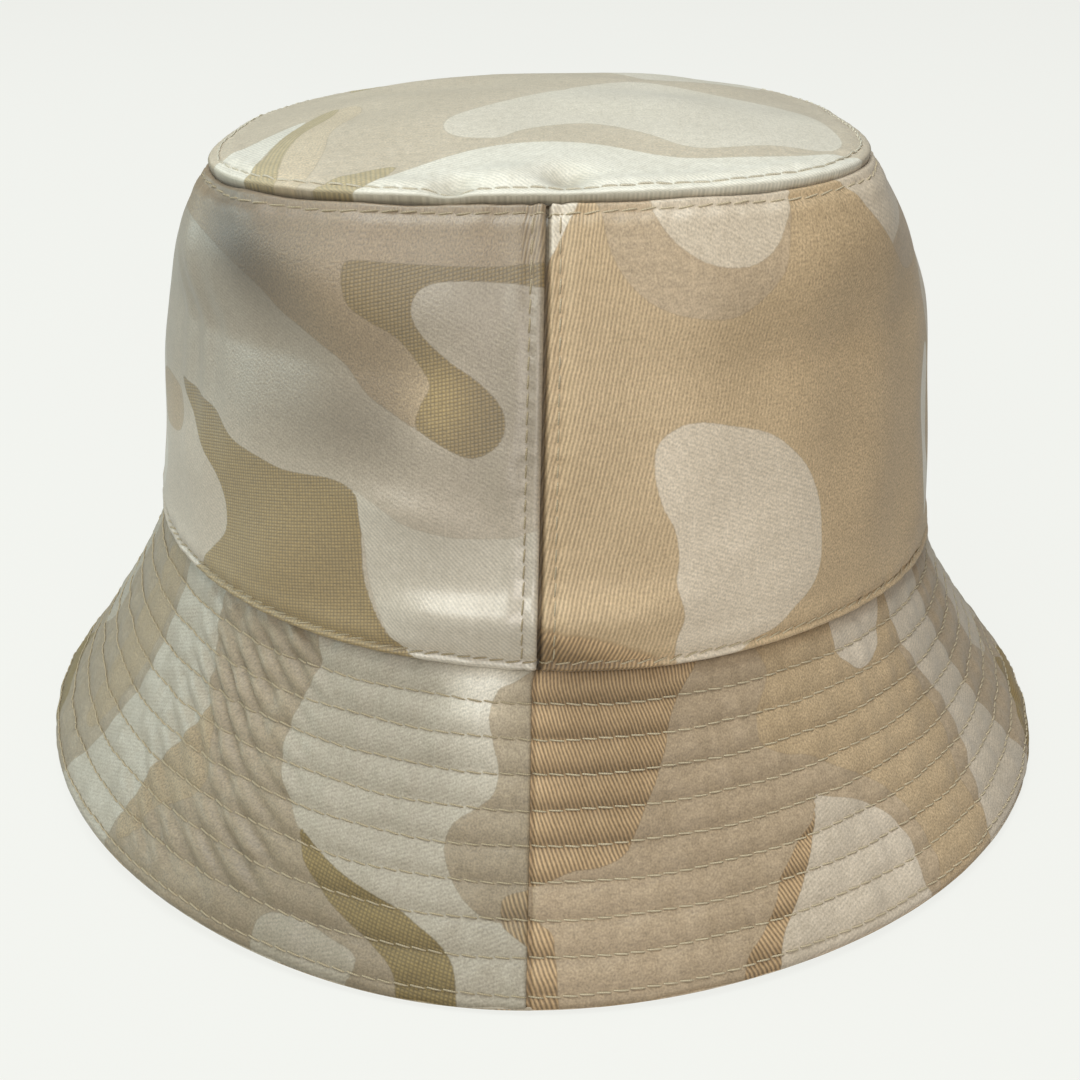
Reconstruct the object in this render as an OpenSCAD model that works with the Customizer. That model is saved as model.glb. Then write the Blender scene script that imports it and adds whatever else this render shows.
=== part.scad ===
// Lined bucket hat, cut and sewn from satin camouflage cloth.
// The hat stands on its brim edge at z = 0, its axis is Z, and the front seam faces -Y.
// Every cut piece of cloth and every thread is a solid of its own, seated on the ply that it is sewn to.

/* [Head opening] */
// Girth inside the sweatband, at the seam between crown and brim
head_girth = 565; // [520:5:640]
// Height of the sweatband above that seam
sweatband_height = 30; // [22:1:45]

/* [Crown] */
// Height of the side wall, from the brim seam to the top seam
crown_depth = 88; // [70:1:110]
// Angle by which the side wall leans inwards
wall_lean = 6; // [3:0.1:9]
// How far the top seam draws the wall in at the shoulder
shoulder_pull = 11.5; // [5:0.5:15]
// How late up the wall the shoulder rounds in
shoulder_power = 5; // [3:1:7]
// Rise of the domed top above its seam
dome_rise = 8; // [3:0.5:14]
// How flat the dome stays before it falls to its edge
dome_power = 2; // [2:1:5]
// How far the folded edge of the top stands out over the wall
top_overhang = 0.4; // [0.1:0.1:1]

/* [Brim] */
// Width of the brim along its slope
brim_width = 66; // [45:1:85]
// Slope of the brim below level at the crown seam
brim_slope_seam = 68; // [62:1:80]
// Slope of the brim below level at its edge
brim_slope_edge = 50; // [40:1:58]

/* [Cloth] */
// Thickness of the satin cloth
shell_cloth = 0.8; // [0.5:0.05:1.2]
// Thickness of the brim interlining
interlining_cloth = 0.6; // [0.3:0.05:1.2]
// Thickness of the lining cloth
lining_cloth = 0.4; // [0.2:0.05:0.8]
// Thickness of the folded sweatband
sweatband_cloth = 1; // [0.6:0.05:1.6]
// Clearance between neighbouring plies, and under a thread
ply_gap = 0.1; // [0.08:0.01:0.15]

/* [Seams] */
// Width of cloth folded behind each seam
seam_allowance = 7; // [5:0.5:9]
// Open line between the two folded edges of an upright seam
seam_line = 0.4; // [0.2:0.1:0.8]
// Height of the brim cloth sewn up behind the foot of the wall
brim_flange = 9; // [7:0.5:11]
// Width of the turned hem at the brim edge
brim_hem = 6; // [4:0.5:8]
// Height above the brim flange at which the lining starts to ease back to the wall
lining_start = 1; // [0.5:0.5:3]
// Height over which the lining eases from the brim flange to the wall
lining_ease = 8; // [5:1:12]

/* [Stitching] */
// Thickness of the sewing thread
thread = 0.5; // [0.3:0.05:0.7]
// Distance from the top seam to the stitching on each side of it
top_stitch_inset = 2.3; // [1.6:0.1:5]
// Distance from an upright seam to the stitching on each side of it
upright_stitch_inset = 2.7; // [1.6:0.1:5]
// Distance from the foot of the wall to its edge stitching
foot_stitch_inset = 2.2; // [1.2:0.1:4]
// Number of stitched rows that quilt the brim, without the row at its edge
brim_rows = 8; // [4:1:12]
// Distance from the brim edge to its edge stitching
edge_stitch_inset = 2.7; // [2.7:0.1:4]
// Distance from the foot of the sweatband to its stitching
sweatband_stitch_inset = 2.5; // [1.5:0.1:4]

/* [Hidden] */

// Straight steps along each curved profile
steps = 22;
thread_fn = 32;

// Directions of the two upright seams, as turns from +X
front_turn = -90;
back_turn = 90;

// Plies at the foot of the wall, as depths behind its outer face
flange_depth = 2 * shell_cloth + ply_gap;
flange_core_depth = flange_depth + shell_cloth + ply_gap;
flange_under_depth = flange_core_depth + interlining_cloth + ply_gap;
lining_foot_depth = flange_under_depth + shell_cloth + ply_gap;
sweatband_foot_depth = lining_foot_depth + lining_cloth + ply_gap;
foot_stack = sweatband_foot_depth + sweatband_cloth;

// Radius of the wall's outer face at the brim seam, and of the brim where it comes out under the wall
wall_foot_r = head_girth / (2 * PI) + foot_stack;
brim_seam_r = wall_foot_r - flange_depth;

// The brim curves from one slope to the other at an even rate
brim_bend = (brim_slope_seam - brim_slope_edge) / brim_width * PI / 180;
seam_z = (cos(brim_slope_edge) - cos(brim_slope_seam)) / brim_bend;
wall_top_z = seam_z + crown_depth;

// Plies of the brim, as depths below its upper face
core_depth = shell_cloth + ply_gap;
under_depth = core_depth + interlining_cloth + ply_gap;
brim_thick = under_depth + shell_cloth;
hem_split = (brim_thick - ply_gap) / 2;
brim_edge_r = brim_point(brim_width, 0)[0];

// Top seam
top_r = wall_r(crown_depth) + top_overhang;
top_edge_z = wall_top_z + ply_gap + 2 * shell_cloth;

// Lining
lining_depth_high = 2 * shell_cloth + ply_gap;
lining_foot = sweatband_stitch_inset / 2;
lining_top_h = crown_depth - lining_cloth;
lining_top_corner = wall_point(lining_top_h, lining_depth_high);

// Seat of a thread's middle above the cloth
thread_seat = thread / 2 + ply_gap;

// Turn that opens half a seam line on the wall's foot, and turn that a fold of cloth takes there
seam_half_turn = asin(seam_line / 2 / wall_foot_r);
allowance_turn = asin(seam_allowance / wall_foot_r);

// The outer face of the side wall, h above the brim seam and d inwards from the face
function wall_r(h) =
    wall_foot_r - h * tan(wall_lean) - shoulder_pull * pow(h / crown_depth, shoulder_power);
function wall_fall(h) =
    tan(wall_lean) + shoulder_pull * shoulder_power / crown_depth * pow(h / crown_depth, shoulder_power - 1);
function wall_normal(h) = [1, wall_fall(h)] / norm([1, wall_fall(h)]);
function wall_point(h, d) = [wall_r(h), seam_z + h] - d * wall_normal(h);

// The upper face of the brim, s along its slope from the seam and d below the face
function brim_slope(s) = brim_slope_seam + (brim_slope_edge - brim_slope_seam) * s / brim_width;
function brim_point(s, d) =
    let (a = brim_slope(s))
    [
        brim_seam_r + (sin(brim_slope_seam) - sin(a)) / brim_bend - d * sin(a),
        seam_z - (cos(a) - cos(brim_slope_seam)) / brim_bend - d * cos(a)
    ];
// The brim's flat lower rim, where the ply face of depth d meets the ground
function rim_point(d) = [brim_edge_r - d / sin(brim_slope_edge), 0];

// A dome of radius r_edge whose edge lies at z_edge, at radius r
function dome_z(r, r_edge, z_edge) = z_edge + dome_rise * (1 - pow(r / r_edge, dome_power));
function dome_normal(r, r_edge) =
    let (fall = dome_rise * dome_power / r_edge * pow(r / r_edge, dome_power - 1))
    [fall, 1] / norm([fall, 1]);

// Depth of the lining's outer face behind the wall's, h above the brim seam
function lining_depth(h) =
    let (share = min(1, max(0, (h - brim_flange - lining_start) / lining_ease)))
    lining_foot_depth + (lining_depth_high - lining_foot_depth) * share;

function reversed(list) = [for (i = [len(list) - 1:-1:0]) list[i]];
function spread(from, to, n = steps) = [for (i = [0:n]) from + (to - from) * i / n];

// One half of the hat's turn, on the right (+X) or on the left
module half(right) {
    rotate_extrude(start = (right ? front_turn : back_turn) + seam_half_turn, angle = 180 - 2 * seam_half_turn)
        children();
}

// A band of the wall between two heights and two depths
module wall_band(h_low, h_high, d_outer, d_inner) {
    heights = spread(h_low, h_high);
    polygon(concat(
        [for (h = heights) wall_point(h, d_outer)],
        [for (h = reversed(heights)) wall_point(h, d_inner)]
    ));
}

// Side panel of the crown: double where its cloth is folded in along all four edges, single in the field between
module side_panel(right) {
    first_turn = (right ? front_turn : back_turn) + seam_half_turn + allowance_turn;
    color("tan") difference() {
        half(right) wall_band(0, crown_depth, 0, 2 * shell_cloth);
        rotate_extrude(start = first_turn, angle = 180 - 2 * seam_half_turn - 2 * allowance_turn)
            wall_band(seam_allowance, crown_depth - seam_allowance, shell_cloth, 3 * shell_cloth);
    }
}

// Domed top of the crown, with its edge folded under
module crown_top() {
    fold_r = top_r - seam_allowance;
    color("beige") rotate_extrude()
        polygon(concat(
            [for (r = spread(0, top_r)) [r, dome_z(r, top_r, top_edge_z)]],
            [for (r = spread(top_r, fold_r)) [r, dome_z(r, top_r, top_edge_z) - 2 * shell_cloth]],
            [for (r = spread(fold_r, 0)) [r, dome_z(r, top_r, top_edge_z) - shell_cloth]]
        ));
}

// Upper cloth of the brim, sewn up behind the wall's foot and turned in at the hem
module brim_top(right) {
    hem_start = brim_width - brim_hem;
    color("wheat") half(right)
        polygon(concat(
            [wall_point(brim_flange, flange_depth)],
            [for (s = spread(0, brim_width - brim_width / steps, steps - 1)) brim_point(s, 0)],
            [rim_point(0), rim_point(hem_split)],
            [brim_point(hem_start, hem_split)],
            [for (s = spread(hem_start, 0)) brim_point(s, shell_cloth)],
            [wall_point(0, flange_depth + shell_cloth), wall_point(brim_flange, flange_depth + shell_cloth)]
        ));
}

// Stiff interlining between the two brim cloths, which stops short of the hem
module brim_interlining(right) {
    core_end = brim_width - brim_hem - ply_gap;
    color("white") half(right)
        polygon(concat(
            [wall_point(brim_flange, flange_core_depth), wall_point(0, flange_core_depth)],
            [for (s = spread(0, core_end)) brim_point(s, core_depth)],
            [for (s = spread(core_end, 0)) brim_point(s, core_depth + interlining_cloth)],
            [wall_point(0, flange_core_depth + interlining_cloth)],
            [wall_point(brim_flange, flange_core_depth + interlining_cloth)]
        ));
}

// Under cloth of the brim
module brim_under(right) {
    hem_start = brim_width - brim_hem;
    rim_stop = brim_width - brim_thick - brim_width / steps;
    color("burlywood") half(right)
        polygon(concat(
            [wall_point(brim_flange, flange_under_depth), wall_point(0, flange_under_depth)],
            [for (s = spread(0, hem_start)) brim_point(s, under_depth)],
            [brim_point(hem_start, hem_split + ply_gap)],
            [rim_point(hem_split + ply_gap), rim_point(brim_thick)],
            [for (s = spread(rim_stop, 0)) brim_point(s, brim_thick)],
            [wall_point(0, flange_under_depth + shell_cloth)],
            [wall_point(brim_flange, flange_under_depth + shell_cloth)]
        ));
}

// A ply that follows the lining's face up the wall, lying deeper than it by inset
module lining_band(h_low, h_high, inset, thick) {
    ease_foot = brim_flange + lining_start;
    ease_top = ease_foot + lining_ease;
    heights = concat([h_low, ease_foot], spread(ease_top, h_high));
    polygon(concat(
        [for (h = heights) wall_point(h, lining_depth(h) + inset)],
        [for (h = reversed(heights)) wall_point(h, lining_depth(h) + inset + thick)]
    ));
}

// Side panel of the lining, from the sweatband's foot to the lining's top seam
module lining_side(right) {
    color("linen") half(right)
        lining_band(lining_foot, lining_top_h, 0, lining_cloth);
}

// Domed top of the lining
module lining_top() {
    edge_r = lining_top_corner[0];
    edge_z = lining_top_corner[1] + ply_gap + lining_cloth;
    radii = spread(0, edge_r);
    color("linen") rotate_extrude()
        polygon(concat(
            [for (r = radii) [r, dome_z(r, edge_r, edge_z)]],
            [for (r = reversed(radii)) [r, dome_z(r, edge_r, edge_z) - lining_cloth]]
        ));
}

// Sweatband, a folded strip whose ends meet at the back seam
module sweatband() {
    color("antiquewhite")
        rotate_extrude(start = back_turn + seam_half_turn, angle = 360 - 2 * seam_half_turn)
            lining_band(0, sweatband_height, lining_cloth + ply_gap, sweatband_cloth);
}

// A row of stitching right round the hat, as a thread that lies on the cloth at a point of its profile
module thread_ring(seat) {
    color("cornsilk") rotate_extrude()
        translate(seat) circle(d = thread, $fn = thread_fn);
}

// Two rows of stitching up the wall, one on each side of an upright seam, between the rings at foot and top
module upright_stitching(turn) {
    heights = spread(foot_stitch_inset + thread, crown_depth - top_stitch_inset - thread);
    for (side = [-1, 1])
        color("cornsilk") rotate(turn)
            translate([0, side * upright_stitch_inset, 0])
                rotate([90, 0, 0])
                    linear_extrude(thread, center = true)
                        polygon(concat(
                            [for (h = heights) wall_point(h, -ply_gap - thread)],
                            [for (h = reversed(heights)) wall_point(h, -ply_gap)]
                        ));
}

// Distances of the brim's quilting rows from the crown seam, at an even pitch that ends at the edge row
brim_row_pitch = (brim_width - edge_stitch_inset) / (brim_rows + 1);
brim_row_places = [for (i = [1:brim_rows]) i * brim_row_pitch];
edge_row_place = brim_width - edge_stitch_inset;

module brim_upper_rows(places) {
    for (s = places) thread_ring(brim_point(s, -thread_seat));
}

module brim_lower_rows(places) {
    for (s = places) thread_ring(brim_point(s, brim_thick + thread_seat));
}

module crown_top_stitching() {
    r = top_r - top_stitch_inset;
    thread_ring([r, dome_z(r, top_r, top_edge_z)] + thread_seat * dome_normal(r, top_r));
}

module crown_wall_stitching() { thread_ring(wall_point(crown_depth - top_stitch_inset, -thread_seat)); }

module crown_foot_stitching() { thread_ring(wall_point(foot_stitch_inset, -thread_seat)); }

module sweatband_stitching() {
    h = sweatband_stitch_inset;
    thread_ring(wall_point(h, lining_depth(h) + lining_cloth + ply_gap + sweatband_cloth + thread_seat));
}

crown_top();
side_panel(false);  // side_panel_left
side_panel(true);  // side_panel_right
brim_top(false);  // brim_top_left
brim_top(true);  // brim_top_right
brim_under(false);  // brim_under_left
brim_under(true);  // brim_under_right
brim_interlining(false);  // brim_interlining_left
brim_interlining(true);  // brim_interlining_right
lining_top();
lining_side(false);  // lining_side_left
lining_side(true);  // lining_side_right
sweatband();
crown_top_stitching();
crown_wall_stitching();
upright_stitching(front_turn);  // front_seam_stitching
upright_stitching(back_turn);  // back_seam_stitching
crown_foot_stitching();
brim_upper_rows(brim_row_places);  // brim_row_stitching
brim_lower_rows(brim_row_places);  // brim_row_under_stitching
brim_upper_rows([edge_row_place]);  // brim_edge_stitching
brim_lower_rows([edge_row_place]);  // brim_edge_under_stitching
sweatband_stitching();
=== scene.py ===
import bpy
import numpy as np
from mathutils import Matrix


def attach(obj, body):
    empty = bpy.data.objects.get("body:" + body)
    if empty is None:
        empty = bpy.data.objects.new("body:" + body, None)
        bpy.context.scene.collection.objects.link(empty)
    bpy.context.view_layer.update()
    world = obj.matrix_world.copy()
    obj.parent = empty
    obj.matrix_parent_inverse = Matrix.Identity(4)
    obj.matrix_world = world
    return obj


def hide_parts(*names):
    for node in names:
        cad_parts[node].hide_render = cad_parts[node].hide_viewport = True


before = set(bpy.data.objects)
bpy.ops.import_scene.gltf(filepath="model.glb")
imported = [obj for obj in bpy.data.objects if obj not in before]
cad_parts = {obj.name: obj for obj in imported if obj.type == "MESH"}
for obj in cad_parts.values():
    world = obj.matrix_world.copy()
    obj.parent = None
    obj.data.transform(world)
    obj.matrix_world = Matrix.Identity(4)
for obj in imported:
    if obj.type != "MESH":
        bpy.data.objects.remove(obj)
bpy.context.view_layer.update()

# Measures in millimetres, the same as in the part's source
MM = 0.001
HEAD_GIRTH = 565.0
SWEATBAND_HEIGHT = 30.0
CROWN_DEPTH = 88.0
WALL_LEAN = np.radians(6.0)
SHOULDER_PULL = 11.5
SHOULDER_POWER = 5
DOME_RISE = 8.0
DOME_POWER = 2
TOP_OVERHANG = 0.4
BRIM_WIDTH = 66.0
SLOPE_SEAM = np.radians(68.0)
SLOPE_EDGE = np.radians(50.0)
SHELL = 0.8
CORE = 0.6
LINING = 0.4
BAND = 1.0
PLY_GAP = 0.1
SEAM_LINE = 0.4
BRIM_FLANGE = 9.0
LINING_EASE = 8.0
TOP_INSET = 2.3
UPRIGHT_INSET = 2.7
FOOT_INSET = 2.2
BRIM_ROWS = 8
EDGE_INSET = 2.7
BAND_INSET = 2.5

# Measures that follow from them
FLANGE_DEPTH = 2 * SHELL + PLY_GAP
BRIM_THICK = 2 * SHELL + CORE + 2 * PLY_GAP
LINING_FOOT_DEPTH = FLANGE_DEPTH + BRIM_THICK + PLY_GAP
FOOT_R = HEAD_GIRTH / (2 * np.pi) + LINING_FOOT_DEPTH + LINING + PLY_GAP + BAND
BRIM_SEAM_R = FOOT_R - FLANGE_DEPTH
BRIM_BEND = (SLOPE_SEAM - SLOPE_EDGE) / BRIM_WIDTH
SEAM_Z = (np.cos(SLOPE_EDGE) - np.cos(SLOPE_SEAM)) / BRIM_BEND
TOP_EDGE_Z = SEAM_Z + CROWN_DEPTH + PLY_GAP + 2 * SHELL
ROW_PITCH = (BRIM_WIDTH - EDGE_INSET) / (BRIM_ROWS + 1)
ROW_PLACES = ROW_PITCH * np.arange(1, BRIM_ROWS + 1)
EDGE_ROW = BRIM_WIDTH - EDGE_INSET

# Sewing thread. At the slanting shoulder the cloth is longer than its height, by the spread.
THREAD_R = 0.2
STITCH_PITCH = 3.3
STITCH_LENGTH = 3.15
STITCH_LIFT = 0.2
STITCH_DIP = 0.42
SHOULDER_SPREAD = 1.25
WALL_ROW = CROWN_DEPTH - TOP_INSET / SHOULDER_SPREAD
UPRIGHT_END = 0.4
UPRIGHT_START = FOOT_INSET + UPRIGHT_END
UPRIGHT_WAY = WALL_ROW - UPRIGHT_END - UPRIGHT_START

# Radii at which a turn is written as a length on wall and brim, and the length of a half
WALL_GAUGE = 90.0
BRIM_GAUGE = 110.0
WALL_HALF = np.pi * WALL_GAUGE
BRIM_HALF = np.pi * BRIM_GAUGE

# Steps of the meshes on open cloth and at rolled edges, and the length for one unit of the texture map
CLOTH_STEP = 0.95
EDGE_STEP = 0.25
CUT_UNIT = 100.0


# Small helpers for shapes
def ease(x, low, high):
    t = np.clip((x - low) / (high - low), 0.0, 1.0)
    return t * t * (3.0 - 2.0 * t)


def hump(x, centre, width):
    return np.exp(-((x - centre) / width) ** 2)


def spots(u, v, rows):
    """Sum of soft spots. A row holds a strength, then middle and width along u, then along v."""
    return sum(k * hump(u, a, b) * hump(v, c, d) for k, a, b, c, d in rows)


def ripple(u, v, seed, waves=7, pitch=6.0):
    """A smooth, uneven ripple of about that pitch, between about -1 and 1."""
    rng = np.random.default_rng(seed)
    total = np.zeros(np.broadcast(u, v).shape)
    for _ in range(waves):
        heading = rng.uniform(0, 2 * np.pi)
        length = pitch * rng.uniform(0.7, 1.6)
        phase = rng.uniform(0, 2 * np.pi)
        total += np.sin(2 * np.pi * (u * np.cos(heading) + v * np.sin(heading)) / length + phase)
    return total / np.sqrt(waves)


def graded(length, coarse, fine, growth=1.3):
    """Places from 0 to length, close together at both ends and wider apart between."""
    steps = []
    step = fine
    while sum(steps) + step < length / 2:
        steps.append(step)
        step = min(step * growth, coarse)
    half = np.concatenate([[0.0], np.cumsum(steps)])
    return np.concatenate([half, length - half[::-1]])


# Round form of the hat, before the cloth settles: radius and height, with a lift off the outer face
def wall_profile(h, lift):
    t = np.clip(h, 0.0, None) / CROWN_DEPTH
    r = FOOT_R - h * np.tan(WALL_LEAN) - SHOULDER_PULL * t ** SHOULDER_POWER
    fall = np.tan(WALL_LEAN) + SHOULDER_PULL * SHOULDER_POWER / CROWN_DEPTH * t ** (SHOULDER_POWER - 1)
    size = np.sqrt(1 + fall * fall)
    return r + lift / size, SEAM_Z + h + lift * fall / size


def brim_profile(s, lift):
    bent = np.clip(s, 0.0, None)
    slope = SLOPE_SEAM - BRIM_BEND * bent
    r = BRIM_SEAM_R + (np.sin(SLOPE_SEAM) - np.sin(slope)) / BRIM_BEND
    z = SEAM_Z - (np.cos(slope) - np.cos(SLOPE_SEAM)) / BRIM_BEND
    straight = np.minimum(s, 0.0)
    r = r + straight * np.cos(SLOPE_SEAM)
    z = z - straight * np.sin(SLOPE_SEAM)
    return r + lift * np.sin(slope), z + lift * np.cos(slope)


TOP_R = wall_profile(CROWN_DEPTH, 0.0)[0] + TOP_OVERHANG


def top_profile(r, lift):
    t = np.clip(r / TOP_R, 0.0, 1.2)
    z = TOP_EDGE_Z + DOME_RISE * (1 - t ** DOME_POWER)
    fall = DOME_RISE * DOME_POWER / TOP_R * t ** (DOME_POWER - 1)
    size = np.sqrt(1 + fall * fall)
    return r + lift * fall / size, z + lift / size


# How the soft hat has settled: the top squares off at the front, the shoulders slope, and brim and seam tilt.
# A turn is counted from the front seam, positive to the right. A pair holds the middle and width of a turn.
SQUARE_TOP = 1.5
SQUARE_FROM = 56.0
RIGHT_DROOP = 8.5
LEFT_DROOP = 3.6
SHOULDER_FROM = 54.0
SHOULDER_TO = 92.0
CORNER_RISE = 1.8
TOP_SKEW = 1.4
SEAM_TILT = 4.0
SEAM_SAG = 1.2
SAG_TURN = (0.25, 0.35)
SEAM_FADE = 70.0
EDGE_LIFT = 1.1
LEFT_LIFT = 3.4
LEFT_FLARE = 1.8
FRONT_FLARE = 2.0
FRONT_DROP = 1.2
FRONT_TURN = (-0.15, 0.42)
CROWN_TWIST = 0.02
BRIM_TWIST = 0.01


def settle(r, turn, z):
    turn = turn - CROWN_TWIST * np.clip(1 - (z - SEAM_Z) / CROWN_DEPTH, 0, 1)
    turn = turn - BRIM_TWIST * (1 - ease(z, SEAM_Z - 4, SEAM_Z + 1))
    right = np.sin(turn)
    front = np.cos(turn)
    high = ease(z, SEAM_Z + SQUARE_FROM, SEAM_Z + CROWN_DEPTH)
    low = 1 - ease(z, 0, SEAM_Z)
    beside = np.clip(right, 0, 1) ** 2
    left = np.clip(-right, 0, 1) ** 2
    ahead = ease(front, -0.4, 0.6)
    nose = hump(turn, *FRONT_TURN)
    out = np.clip(r / TOP_R, 0, 1)
    power = 2 + SQUARE_TOP * high * (0.05 + 0.95 * ahead)
    r = r * (np.abs(right) ** power + np.abs(front) ** power) ** (-1 / power)
    droop = RIGHT_DROOP * beside + LEFT_DROOP * left
    r = r - droop * ease(z, SEAM_Z + SHOULDER_FROM, SEAM_Z + SHOULDER_TO) * out
    r = r + (LEFT_FLARE * left + FRONT_FLARE * nose) * low
    seam = np.where(z < SEAM_Z, 1 - low, 1 - ease(z, SEAM_Z, SEAM_Z + SEAM_FADE))
    z = z - (right ** 3 * SEAM_TILT + SEAM_SAG * hump(turn, *SAG_TURN)) * seam
    z = z + (EDGE_LIFT + LEFT_LIFT * left - FRONT_DROP * nose) * low
    z = z + (CORNER_RISE * ahead * right ** 2 * out + TOP_SKEW * right) * high * out
    return np.stack([r * right, -r * front, z], axis=-1)


def settled(profile, turn):
    """Settled places for the radii and heights of a profile."""
    r, z = profile
    return settle(r, turn, z)


# Lift of the cloth at a folded edge: rolled at the fold, padded behind it, drawn in along the stitching
def folded_edge(d, inset, along, seed, drop=0.95, depth=0.34, pull=0.16, bend=1.1):
    roll = -drop * np.clip(1 - d / bend, 0, 1) ** 2
    pad = depth * ease(d, 0.3, 1.0) * (1 - ease(d, inset - 0.9, inset))
    dip = -depth * hump(d, inset, 0.6)
    swell = 0.3 * hump(d, inset + 2.6, 1.8)
    puckers = pull * ripple(along, d * 0.3, seed, pitch=5.5) * hump(d, inset + 0.6, 2.4)
    return roll + pad + dip + swell + puckers


# At the front and back seams the left half lies over the right, which steps down and runs on below it
WALL_UNDERLAP = 3.0
WALL_STEP = 1.45
# The seam's dark shares give the strength of the painted shade in its gap
WALL_SEAM_DARK = 0.75
BRIM_UNDERLAP = 2.5
BRIM_STEP = 0.6
BRIM_SEAM_DARK = 0.3


def half_of(turn):
    return np.where(turn < 0, -1, 1)


def seam_distance(side, turn, r):
    """Way along the cloth from the nearest upright seam, negative where a half runs on below the other."""
    front = np.abs(turn) < np.pi / 2
    return np.where(front, side * turn, np.pi - side * turn) * r - SEAM_LINE / 2


def seam_step(side, way, step):
    over = -0.45 * np.clip(1 - way / 0.6, 0, 1) ** 2
    below = -step * (1 - ease(way, 0.25, 0.95))
    return np.where(side < 0, over, below)


# Painted shade in the gap where the right half runs on below the left, as dark as the given share
def seam_shade(side, turn, r, dark):
    way = seam_distance(side, turn, r)
    return 1 - dark * (1 - ease(way, 0.2, 0.75)) * (side > 0)


# Outer faces as they show, each with a lift above the cloth
FOLD_MIDDLE = (-65, 77)
FOLD_RUN = (0.85, -0.53)
DEEPEST = -1.5
# Soft spots of painted shade on the wall, negative for painted light: strength, then middle and width along,
# then up
LEFT_SHADE = [(0.17, -38, 18, 45, 10), (-0.6, -20, 7, 53, 8), (0.16, -62, 20, 82, 10), (-0.14, -37, 9, 72, 9)]
RIGHT_SHADE = [(-0.08, 42, 18, 26, 20)]


def foot_swell(along, h):
    """The wall swells out over the thick foot seam beside the front seam, and falls back above it."""
    fall = 0.5 - 0.5 * np.tanh((h - 14.8 - 0.06 * along) / 2.7)
    return 2.7 * fall * ease(along, -38, -20) * (1 - ease(along, 14, 42))


def overhang(along, h):
    """Places on a slanting fold high on the left of the wall: the way across it and its strength."""
    u = along - FOLD_MIDDLE[0]
    v = h - FOLD_MIDDLE[1]
    across = FOLD_RUN[0] * v - FOLD_RUN[1] * u
    way = FOLD_RUN[0] * u + FOLD_RUN[1] * v
    return across, hump(way, 0, 18)


def wall_folds(along, h):
    """Soft ridges where the wall has been pressed in and pushed out again."""
    middle = 1.2 * hump(h, 31 - 0.12 * (along + 27), 4.0) * hump(along, -27, 11)
    beside = hump(along, -7, 3.4) * hump(h, 39, 7)
    right = 0.6 * hump(h, 22 + 0.35 * (along - 38), 6.0) * hump(along, 40, 16)
    drapes = 0.4 * np.sin(2 * np.pi * (along + 0.1 * h) / 10) * hump(along, -86, 13) * hump(h, 52, 20)
    across, strength = overhang(along, h)
    hollow = strength * (0.7 * hump(across, 7, 5) - hump(across, -8, 12))
    return middle + beside + right + drapes + hollow + 0.35 * ripple(along, h, 14, pitch=26)


def wall_shade(side, along, h):
    """Painted light and shade on the wall: painted shade high up and at the hanging fold, and on the right
    low beside the seam, with painted shade and light in soft spots.
    """
    across, strength = overhang(along, h)
    left = 0.3 * ease(h, 28, 48) + 0.32 * strength * hump(across, 0, 8) + spots(along, h, LEFT_SHADE)
    low = 1 - ease(h - 12 + 0.42 * along, -7, 1)
    right = 0.1 * ease(h, 58, 78) + 0.55 * low + spots(along, h, RIGHT_SHADE)
    return 1 - np.where(side < 0, left, right)


def needle_dimples(way, h):
    """The upright rows draw the cloth in at each end of a stitch."""
    pitch = UPRIGHT_WAY / round(UPRIGHT_WAY / STITCH_PITCH)
    beat = 0.5 + 0.5 * np.cos(2 * np.pi * (h - UPRIGHT_START) / pitch)
    return -0.3 * beat * hump(way, UPRIGHT_INSET - 0.3, 0.9)


def wall_relief(side, turn, h):
    side = half_of(turn) if side is None else side
    along = turn * WALL_GAUGE
    way = seam_distance(side, turn, FOOT_R - h * 0.15)
    relief = folded_edge(h, FOOT_INSET, along, 11, depth=0.5)
    relief = relief + folded_edge((CROWN_DEPTH - h) * SHOULDER_SPREAD, TOP_INSET, along, 12)
    relief = relief + folded_edge(np.maximum(way, 0), UPRIGHT_INSET, h, 13, drop=0.0, depth=0.26, pull=0.08)
    relief = relief + seam_step(side, way, WALL_STEP) + needle_dimples(way, h)
    folds = wall_folds(along, h) * ease(way, 1, 8) + foot_swell(along, h)
    return np.maximum(relief + folds * ease(h, 1, 12), DEEPEST)


def wall_face(turn, h, lift=0.0, side=None):
    return settled(wall_profile(h, wall_relief(side, turn, h) + lift), turn)


RIM_DROP = 1.2
RIM_WAY = 1.6
UNDER_SHARE = 0.5
# Soft spots of painted light on the brim, one a painted sheen just below the lip beside the front seam:
# strength, then middle and width along, then down
BRIM_SPOTS = [(0.4, -8, 10, 14, 18), (0.9, -11, 8, 3, 8), (0.15, -68, 16, 20, 20)]


def brim_creases(along, s):
    """Slanting creases, strong where the left of the brim has been pulled."""
    pulled = ease(along, -100, -84) * (1 - ease(along, -58, -46)) * (1 - ease(s, 50, 64))
    lesser = 0.15 + 0.3 * hump(along, 88, 20)
    across = along - 1.4 * s + 1.5 * ripple(along, s, 22, pitch=34)
    ridge = np.abs(np.sin(np.pi * across / 8.6)) ** 1.1 - 0.6
    uneven = 0.7 + 0.3 * ripple(along, s, 23, pitch=24)
    return (2.0 * pulled * uneven + 0.6 * lesser * (uneven - 0.3)) * ridge


def quilting(s):
    """Swelling of the brim between its stitched rows, from 0 on a row to 1 between two."""
    beat = np.clip(s / ROW_PITCH, 0, BRIM_ROWS + 1.0)
    return np.abs(np.sin(np.pi * beat)) ** 0.8


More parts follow.
